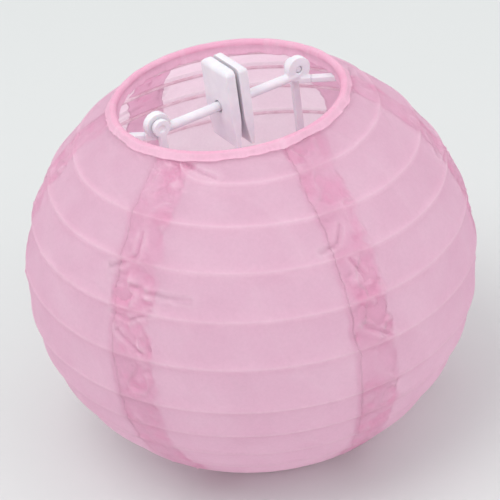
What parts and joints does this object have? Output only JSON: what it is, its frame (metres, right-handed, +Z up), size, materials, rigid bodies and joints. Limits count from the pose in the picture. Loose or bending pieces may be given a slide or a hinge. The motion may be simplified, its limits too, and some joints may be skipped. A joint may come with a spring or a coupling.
{
  "type": "paper lantern",
  "caption": "Small round paper lantern with steel rim rings, a spiral rib, tissue gores and a removable white plastic spreader with a lamp clip; folds flat.",
  "frame": {"origin": "on the floor under the lantern's axis, in the plane that the bottom hem stands on", "axes": "+Z up along the lantern's axis; -Y is the front, between two seams; the crossbar runs 27.5 degrees round from +X towards +Y"},
  "size_m": [0.1, 0.1, 0.0899],
  "materials": {
    "tissue": "matte, translucent",
    "rim_binding": "matte, doubled",
    "ring_wire": "drawn wire",
    "rib_wire": "drawn wire, paper covered",
    "spreader_plastic": "moulded, satin, slightly translucent"
  },
  "bodies": {
    "shade": {"bottom_ring": "ring_wire", "bottom_hem": "rim_binding", "rib_spiral": "rib_wire", "paper_gore_1": "tissue", "paper_gore_2": "tissue", "paper_gore_3": "tissue", "paper_gore_4": "tissue", "paper_gore_5": "tissue", "paper_gore_6": "tissue"},
    "top_rim": {"top_ring": "ring_wire", "top_hem": "rim_binding"},
    "spreader": {"crossbar": "spreader_plastic", "top_hook_right": "spreader_plastic", "top_hook_left": "spreader_plastic"},
    "right_leg": {"leg_right": "spreader_plastic", "bottom_hook_right": "spreader_plastic"},
    "left_leg": {"leg_left": "spreader_plastic", "bottom_hook_left": "spreader_plastic"},
    "right_jaw": {"clip_jaw_right": "spreader_plastic"},
    "left_jaw": {"clip_jaw_left": "spreader_plastic"}
  },
  "joints": [
    {"name": "collapse", "type": "slide", "parent": "shade", "child": "top_rim", "axis": [0, 0, -1], "range_m": [0, 0.069], "deforming": ["paper_gore_1", "paper_gore_2", "paper_gore_3", "paper_gore_4", "paper_gore_5", "paper_gore_6", "rib_spiral"]},
    {"name": "spreader_lift", "type": "slide", "parent": "shade", "child": "spreader", "axis": [0, 0, 1], "range_m": [0, 0.095], "deforming": ["top_hook_right", "top_hook_left", "bottom_hook_right", "bottom_hook_left"]},
    {"name": "right_leg_pinch", "type": "hinge", "parent": "spreader", "child": "right_leg", "pos_m": [0.01543, 0.00803, 0.08192], "axis": [-0.4617, 0.887, 0], "range_deg": [0, 10]},
    {"name": "left_leg_pinch", "type": "hinge", "parent": "spreader", "child": "left_leg", "pos_m": [-0.01543, -0.00803, 0.08192], "axis": [0.4617, -0.887, 0], "range_deg": [0, 10]},
    {"name": "right_jaw_open", "type": "hinge", "parent": "spreader", "child": "right_jaw", "pos_m": [0.00036, 0.00018, 0.07947], "axis": [-0.4617, 0.887, 0], "range_deg": [0, 5], "stiffness_Nm_per_rad": 0.002},
    {"name": "left_jaw_open", "type": "hinge", "parent": "spreader", "child": "left_jaw", "pos_m": [-0.00036, -0.00018, 0.07947], "axis": [0.4617, -0.887, 0], "range_deg": [0, 5], "stiffness_Nm_per_rad": 0.002}
  ],
  "couplings": [
    {"joint": "left_jaw_open", "follows": "right_jaw_open", "ratio": 1}
  ]
}
